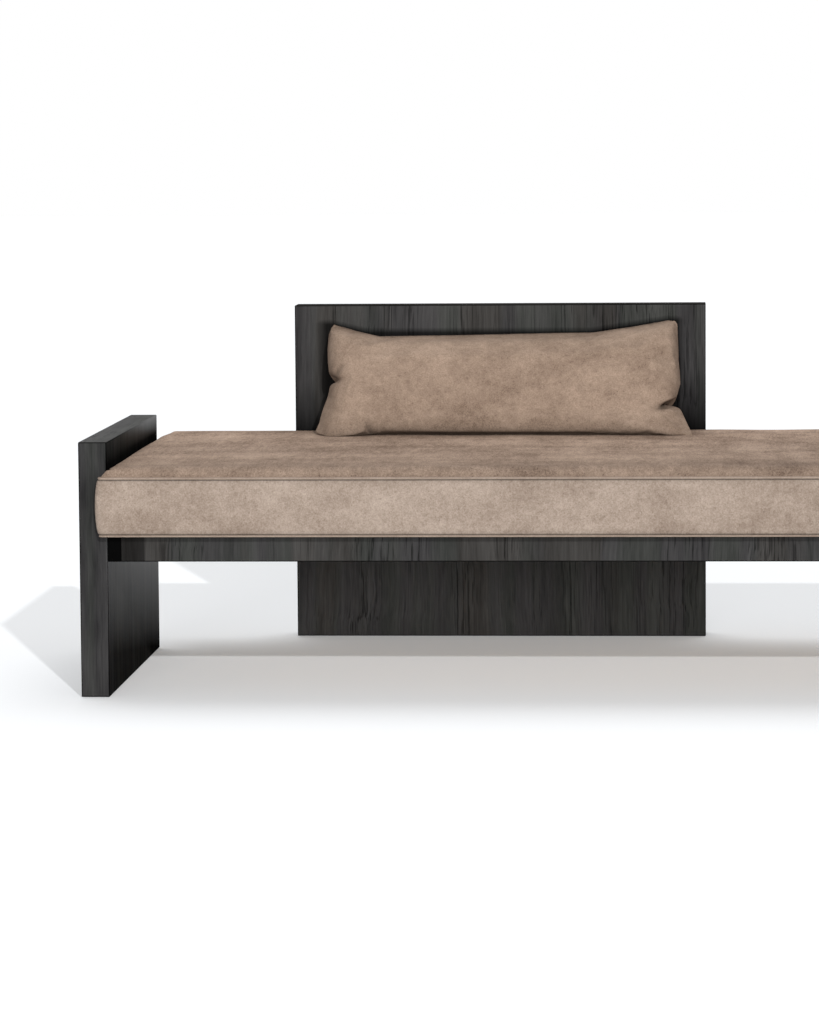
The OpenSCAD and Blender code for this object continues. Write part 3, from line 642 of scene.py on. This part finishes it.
def leather(name, light, dark, edge_shade=0.16, groove_shade=0.6, stretch=(1, 1, 1), lying=None):
    """Nubuck: clouded tones, a fine nap of light and dark specks, and darker along the seams,
    where from_seam holds each point's distance from its seam in metres. Painted shade darkens
    creases, by an attribute that goes up to 1 in them. The lying hide on top has a light and dark
    of its own, partly its own tone and partly painted to stand for the sheen of its nap; painted
    light makes it lightest far back, and painted shade darkens it along its front edge and in
    front of the pillow, where the pillow shades it."""
    material, shader, place = finish_of(name, 0.9, level=0.1)
    x, y, _ = place.split()
    place = place.stretched(stretch)
    clouds = place.noise(4.5, 3, 0.6)
    patches = place.moved((5.2, 1.3, 7.7)).stretched((0.75, 1, 1)).noise(22, 4, 0.6)
    mottle = place.moved((2.1, 6.4, 3.3)).noise(85, 3, 0.6)
    nap = place.noise(380, 2, 0.75)
    specks = place.moved((8.2, 0.7, 4.4)).noise(330, 2, 0.6).between(0.30, 0.40, 1.0, 0.0)
    tone = clouds * 0.9 + patches * 0.95 + mottle * 0.7 + nap * 1.4 - specks * 0.3
    tone = tone.between(1.45, 2.45)
    if lying:
        on_top = place.add("Attribute", {"attribute_name": "lying"}, {}, out="Fac")
        swept = place.moved((3.3, 8.1, 0.4)).stretched((0.6, 6, 1)).noise(7, 3, 0.6) - 0.5
        tone = tone + swept * on_top * 1.05
        light, dark = on_top.mix(light, lying[0]), on_top.mix(dark, lying[1])
    near = place.add("Attribute", {"attribute_name": "from_seam"}, {}, out="Fac")
    near = near.between(0.0, 0.012, 1.0, 0.0)
    painted_crease_shade = place.add("Attribute", {"attribute_name": "painted_crease_shade"}, {}, out="Fac")
    shade = (1 - near * edge_shade) * (1 - painted_crease_shade * groove_shade)
    if lying:
        # Painted shade along the top's front edge and in front of the pillow, and painted light
        # towards the rear.
        across = (x - pillow_middle).size()
        painted_front_shade_and_rear_light = y.between(seam_front + 0.03, -0.27, 0.80, 1.0) * y.between(-0.05, 0.25, 1.0, 1.24)
        painted_pillow_shade = y.between(0.03, 0.28, 0.0, 0.30) * across.between(0.32, 0.42, 1.0, 0.0)
        shade = shade * on_top.between(0.0, 1.0, 1.0, painted_front_shade_and_rear_light * (1 - painted_pillow_shade))
    colour = tone.mix(dark, light).shaded(shade)
    surfaced(shader, colour, nap.between(0.3, 0.7, 0.8, 0.95), (0.5, 0.0007, nap - specks * 0.6))
    return material


def point_values(piece, name, values):
    """Stores one number for each point of a mesh."""
    attribute = piece.data.attributes.new(name, "FLOAT", "POINT")
    attribute.data.foreach_set("value", np.asarray(values, np.float32))


border_depth = np.repeat(levels * (seam_top - seam_bottom), len(seam))
border_from_seam = np.minimum(border_depth, seam_top - seam_bottom - border_depth)
none = np.zeros(nearest.size)
# The border is painted darker along the lines beside the pipings, as painted shade in those
# creases.
for name, on_top, on_underside, on_border in (
        ("lying", none + 1, none, 0 * border_depth),
        ("painted_crease_shade", none, none, in_groove(border_depth)),
        ("from_seam", nearest.ravel(), nearest.ravel(), border_from_seam)):
    point_values(cover, name, np.concatenate([on_top, on_underside, on_border]))
# The top's own light and dark: partly its own tone, partly painted to stand for the sheen of its
# nap.
top_tone_and_sheen_light, top_tone_and_sheen_dark = (0.384, 0.284, 0.217, 1), (0.119, 0.077, 0.054, 1)
cover.data.materials.append(leather(
    "mattress_nubuck", (0.316, 0.257, 0.212, 1), (0.153, 0.113, 0.087, 1), groove_shade=0.82,
    stretch=(1, 0.22, 1), lying=(top_tone_and_sheen_light, top_tone_and_sheen_dark)))
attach(cover, "seat_mattress")
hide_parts("seat_top_panel", "seat_border", "seat_bottom_panel", "seat_wadding",
            "seat_foam_block")


# Mattress piping. A thin cord covered in the same leather, about 4 mm thick, sewn into the upper
# and the lower seam all round.
def piping(name, line, height, radius):
    """A tube round a closed line: each ring's points turn from outward to up."""
    normal = outward_of(line)
    angle = np.linspace(0, 2 * np.pi, 12, endpoint=False)
    sideways = normal[:, None, :] * (radius * np.cos(angle))[None, :, None]
    heights = (height + radius * np.sin(angle))[None, :, None]
    heights = np.broadcast_to(heights, (len(line), len(angle), 1))
    points = np.concatenate([line[:, None, :] + sideways, heights], -1)
    index = np.arange(len(line) * len(angle)).reshape(len(line), len(angle))
    following, next_angle = np.roll(index, -1, 0), np.roll(index, -1, 1)
    faces = np.stack([index, following, np.roll(following, -1, 1), next_angle], -1).reshape(-1, 4)
    piece = mesh_piece(name, points, faces)
    # Painted shade: the tube's top and underside, where it meets the cover, count as nearest the
    # seam, so the leather paints them darker.
    point_values(piece, "from_seam", np.tile(np.abs(np.cos(angle)) * radius * 4, len(line)))
    return piece


piping_hide = leather("piping_nubuck", (0.300, 0.238, 0.192, 1), (0.20, 0.148, 0.115, 1),
                      edge_shade=0.3)
for name, height, radius, node in (
        ("mattress_upper_piping", seam_top + 0.0003, 0.0022, "seat_top_piping"),
        ("mattress_lower_piping", seam_bottom - 0.0007, 0.0018, "seat_bottom_piping")):
    cord = piping(name, seam, height, radius)
    cord.data.materials.append(piping_hide)
    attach(cord, "seat_mattress")
    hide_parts(node)


# Zip. A woven tape with its closed chain in the middle of the rear border, and a burnished slider.
tape, tape_shader, place = finish_of("zip_tape", 0.85, level=0.2)
twill = place.noise(1800, 2)
woven = twill.between(0.3, 0.7).mix((0.06, 0.048, 0.04, 1), (0.14, 0.11, 0.09, 1))
surfaced(tape_shader, woven, bump=(0.5, 0.0003, twill))
paint_nodes(tape, "seat_zip")
paint_nodes(metal("burnished", (0.25, 0.24, 0.23, 1), 0.4), "seat_zip_slider")


# Lumbar pillow. Two panels of the same nubuck sewn face to face round a wadding filling. It
# stands on the mattress and leans on the back panel; its sides fold in, its upper corners stand
# up and its lower corners lie forward on the mattress.
# Thickness behind the leaning plane, the most that the stuffing moves a point, and how far before
# its start a fold begins to sink
back_thick, most_blown, fold_lead = 0.072, 0.005, 0.011
mattress_high = seam_top + crown_high
rest_gap = 0.0006
# Y and z of the leaning plane's foot and head, the plane's direction and its normal to the front
foot = np.array([back_plane - 0.122, mattress_high + rest_gap])
head = np.array([back_plane - 0.012, mattress_high + 0.184])
lean = (head - foot) / np.linalg.norm(head - foot)
off_plane = np.array([-lean[1], lean[0]])
pillow_tall = np.linalg.norm(head - foot)

# Seam line: half width of each side at shares of the way up, with the folds that draw it in, each
# with its place on the way up, its width and its depth; lift of the top seam and forward reach of
# the bottom seam at shares of the width.
side_v = np.array([0.0, 0.04, 0.12, 0.25, 0.39, 0.50, 0.60, 0.71, 0.82, 0.93, 1.0])
left_half = np.array([
    352, 357, 351, 345.5, 336.5, 333, 336, 339.5, 341, 340, 335]) / 1000
right_half = np.array([
    366, 364, 356, 344, 338, 344, 343, 340.5, 340, 339, 338]) / 1000
left_fold, right_fold = (0.548, 0.032, 0.0200), (0.315, 0.034, 0.043)
top_u = np.array([
    -1, -0.985, -0.95, -0.85, -0.72, -0.6, -0.3, 0.33, 0.52, 0.75, 0.955, 0.985, 1])
top_lift = np.array([20, 26.5, 22.5, 11, -0.5, 0, 1, 5.5, 6, 19, 33, 32, 24]) / 1000
foot_u = np.array([-1, -0.93, -0.86, -0.78, -0.71, -0.66, -0.3, 0.5, 0.6, 0.75, 0.9, 1])
foot_reach = np.array([12, 50, 56, 48, 24, 14, 24, 30, 34, 42, 50, 54]) / 1000


def pillow_seam(u, v):
    """X, the height up the leaning plane and the forward reach of the flat pillow at (u, v)."""
    fold_left = left_fold[2] * np.exp(-((v - left_fold[0]) / left_fold[1]) ** 2)
    fold_right = right_fold[2] * np.exp(-((v - right_fold[0]) / right_fold[1]) ** 2)
    left = np.interp(v, side_v, left_half) - fold_left * np.abs(u) ** 16
    right_side = np.interp(v, side_v, right_half) - fold_right * np.abs(u) ** 16
    x = np.where(u < 0, u * left, u * right_side)
    lift = np.interp(u, top_u, top_lift) * np.clip((v - 0.35) / 0.65, 0, 1) ** 2
    reach = np.interp(u, foot_u, foot_reach) * np.clip(1 - v / 0.3, 0, 1) ** 1.5
    return x, v * pillow_tall + lift, reach


def crease(x, h, at, direction, length, width, depth):
    """Depth of a fold that starts at a point, runs in a direction, widens and fades along it."""
    direction = np.array(direction) / np.linalg.norm(direction)
    along = (x - at[0]) * direction[0] + (h - at[1]) * direction[1]
    aside = (h - at[1]) * direction[0] - (x - at[0]) * direction[1]
    share = np.clip(along / length, 0, 1)
    profile = np.exp(-(aside / (width * (0.4 + 0.8 * share))) ** 2)
    return depth * (1 - share) ** 1.5 * eased(-fold_lead, 0, along) * profile


# Front of a section through the middle: at shares of the way up, how far forward of the foot and
# how high each place is. The belly rests on the mattress and the face leans back.
section_v = np.array([
    0, 0.02, 0.05, 0.09, 0.14, 0.20, 0.30, 0.42, 0.56, 0.70, 0.80, 0.87, 0.92, 0.96, 1])
section_forward = np.array([
    0, 13, 25, 33, 38, 39.5, 36, 27.5, 14.5, -1, -13, -23, -36, -58, -110]) / 1000
section_up = np.array([
    0, 0.3, 2.0, 7.0, 16.5, 31, 52, 78, 108, 137, 158, 171, 179.5, 183.5, 184]) / 1000


def softened(v, places, values, width=0.025):
    """A table read at v and averaged over a width, mirrored through its ends so that they hold."""
    places = np.concatenate([-places[:0:-1], places, 2 - places[-2::-1]])
    below, above = 2 * values[0] - values[:0:-1], 2 * values[-1] - values[-2::-1]
    values = np.concatenate([below, values, above])
    steps = np.linspace(-2, 2, 9)
    weights = np.exp(-steps ** 2 / 2)
    read = (np.interp(v + step * width, places, values) for step in steps)
    return sum(weight * value for weight, value in zip(weights, read)) / weights.sum()


def side_share(u):
    """Share of the full thickness: nearly full until the sides, then falling steeply."""
    return (1 - np.abs(u) ** 24) ** 0.9


def case_grid(columns, rows):
    """Places on the flat case from seam to seam, u across and v up, closer together at the seams:
    u is a sine over most of a half turn, and v the mean of a cosine and an even run."""
    half_turn = 0.92 * np.pi / 2
    across = np.sin(np.linspace(-half_turn, half_turn, columns + 1)) / math.sin(half_turn)
    even = np.linspace(0, 1, rows + 1)
    return np.meshgrid(across, 0.25 * (1 - np.cos(np.pi * even)) + 0.5 * even)


def held(points):
    """Points kept in front of the back panel and above the mattress."""
    points[..., 1] = np.minimum(points[..., 1], back_plane - rest_gap)
    points[..., 2] = np.maximum(points[..., 2], mattress_high + rest_gap)
    return points


def case(u, v):
    """Front and back points of the filled case at (u, v): the flat case on the leaning plane, plus
    the middle section's distance from it in front, and a round swell behind."""
    x, h, reach = pillow_seam(u, v)
    flat = np.stack([pillow_middle + x, foot[0] + h * lean[0] - reach, foot[1] + h * lean[1]], -1)
    thick = side_share(u)
    front, back = flat.copy(), flat.copy()
    front[..., 1] -= thick * (softened(v, section_v, section_forward) + v * pillow_tall * lean[0])
    front[..., 2] += thick * (softened(v, section_v, section_up) - v * pillow_tall * lean[1])
    swell = np.sin(np.pi * v ** 0.85) ** 0.56
    back[..., 1:] -= (back_thick * swell * thick)[..., None] * off_plane
    return held(front), held(back)


def sewn(front, back):
    """Points and faces of two panels that share the points of their seam, and the inner mask."""
    inner = np.zeros(front.shape[:2], bool)
    inner[1:-1, 1:-1] = True
    front_index = np.arange(inner.size).reshape(inner.shape)
    back_index = front_index.copy()
    back_index[inner] = inner.size + np.arange(inner.sum())
    points = np.concatenate([front.reshape(-1, 3), back[inner]])
    return points, np.concatenate([quads(front_index), quads(back_index)[:, ::-1]]), inner


def stuffed(piece, pinned, pressure, frames, slack, cap):
    """Blows a closed leather case up as cloth: its seam stays, and no point moves past the cap."""
    start = np.zeros(len(piece.data.vertices) * 3)
    piece.data.vertices.foreach_get("co", start)
    start = start.reshape(-1, 3)
    group = piece.vertex_groups.new(name="seam")
    group.add([int(i) for i in pinned], 1.0, "REPLACE")
    cloth = piece.modifiers.new("stuffing", "CLOTH")
    settings = cloth.settings
    settings.quality = 6
    settings.mass = 0.6
    settings.vertex_group_mass = "seam"
    settings.tension_stiffness = settings.compression_stiffness = 25
    settings.shear_stiffness = 12
    settings.bending_stiffness = 2.5
    settings.shrink_min = -slack
    settings.use_pressure = True
    settings.uniform_pressure_force = pressure
    settings.effector_weights.gravity = 0.0
    cloth.collision_settings.use_collision = False
    cloth.point_cache.frame_start, cloth.point_cache.frame_end = 1, frames
    scene = bpy.context.scene
    for number in range(1, frames + 1):
        scene.frame_set(number)
    evaluated = piece.evaluated_get(bpy.context.evaluated_depsgraph_get())
    blown = np.zeros(len(start) * 3)
    evaluated.data.vertices.foreach_get("co", blown)
    piece.modifiers.remove(cloth)
    piece.vertex_groups.clear()
    scene.frame_set(1)
    step = blown.reshape(-1, 3) - start
    length = np.linalg.norm(step, axis=1, keepdims=True)
    step = step * np.minimum(1, cap / np.maximum(length, 1e-9))
    return start + step


def twice_as_fine(field):
    """A grid of vectors with one more row and column between each two, smoothed inside."""
    for axis in (0, 1):
        field = np.moveaxis(field, axis, 0)
        finer = np.repeat(field, 2, 0)[:-1]
        finer[1::2] = (field[:-1] + field[1:]) / 2
        finer[1:-1] = (finer[:-2] + 2 * finer[1:-1] + finer[2:]) / 4
        field = np.moveaxis(finer, 0, axis)
    return field


case_columns, case_rows = 150, 46
front, back = case(*case_grid(case_columns, case_rows))
front_blown, back_blown = front, back
points, faces, inner = sewn(front, back)
case_form = mesh_piece("case_form", points, faces)
seam_points = rim(np.arange(inner.size).reshape(inner.shape))
blown = stuffed(case_form, seam_points, pressure=3.0, frames=20, slack=0.012, cap=most_blown)
bpy.data.objects.remove(case_form)
front_blown = blown[:inner.size].reshape(front.shape)
back_blown = front_blown.copy()
back_blown[inner] = blown[inner.size:]

u, v = case_grid(2 * case_columns, 2 * case_rows)
x, h, _ = pillow_seam(u, v)
fine_front, fine_back = case(u, v)
fine_front = fine_front + twice_as_fine(front_blown - front)
fine_back = fine_back + twice_as_fine(back_blown - back)

# Each fold: where it starts (x, height), its direction, length, width and depth.
folds = sum(crease(x, h, *fold) for fold in (
    ((-0.2440, 0.010), (-0.35, 1), 0.048, 0.0085, 0.028),
    ((-0.2330, 0.010), (0.25, 1), 0.050, 0.0090, 0.008),
    ((0.1850, 0.012), (1, 0.10), 0.050, 0.007, 0.009),
    ((-0.3230, 0.121), (0.55, 1), 0.046, 0.008, 0.015),
    ((0.3220, 0.066), (-1, 0.05), 0.036, 0.007, 0.019),
    ((-0.2430, 0.216), (1, -0.25), 0.034, 0.005, 0.005)))
seam_strip = 0.02
clear_of_seam = (1 - np.abs(u) ** 40) * np.clip(np.minimum(v, 1 - v) / seam_strip, 0, 1)
fine_front[..., 1:] -= (folds * clear_of_seam)[..., None] * off_plane
points, faces, inner = sewn(held(fine_front), held(fine_back))
pillow = mesh_piece("lumbar_pillow", points, faces)

left_out, right_out = x - x.min(1, keepdims=True), x.max(1, keepdims=True) - x
edge_distance = np.minimum(np.minimum(h, h.max(0) - h), np.minimum(left_out, right_out))
point_values(pillow, "from_seam", np.concatenate([edge_distance.ravel(), edge_distance[inner]]))

# Painted shade: darkest under the belly where it rests on the seat, fading upwards, and in the
# folds and in the left notch.
shade_rise, fold_full = 0.014, 0.016
above_seat = fine_front[..., 2] - fine_front[..., 2].min()
painted_belly_shadow = np.exp(-above_seat / shade_rise) * (1 - np.abs(u) ** 6)
painted_notch_shade = 0.7 * np.exp(-((x + 0.331) / 0.010) ** 2 - ((h - 0.122) / 0.011) ** 2)
painted_fold_shade = np.clip(np.clip(folds / fold_full, 0, 1) + painted_notch_shade, 0, 1)
shaded = np.maximum(painted_belly_shadow, 0.85 * painted_fold_shade)
point_values(pillow, "painted_crease_shade", np.concatenate([shaded.ravel(), 0 * edge_distance[inner]]))
pillow.data.materials.append(leather(
    "pillow_nubuck", (0.297, 0.220, 0.167, 1), (0.126, 0.086, 0.062, 1), edge_shade=0.1,
    groove_shade=0.85))
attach(pillow, "lumbar_pillow")
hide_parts("pillow_front_panel", "pillow_back_panel", "pillow_filling")
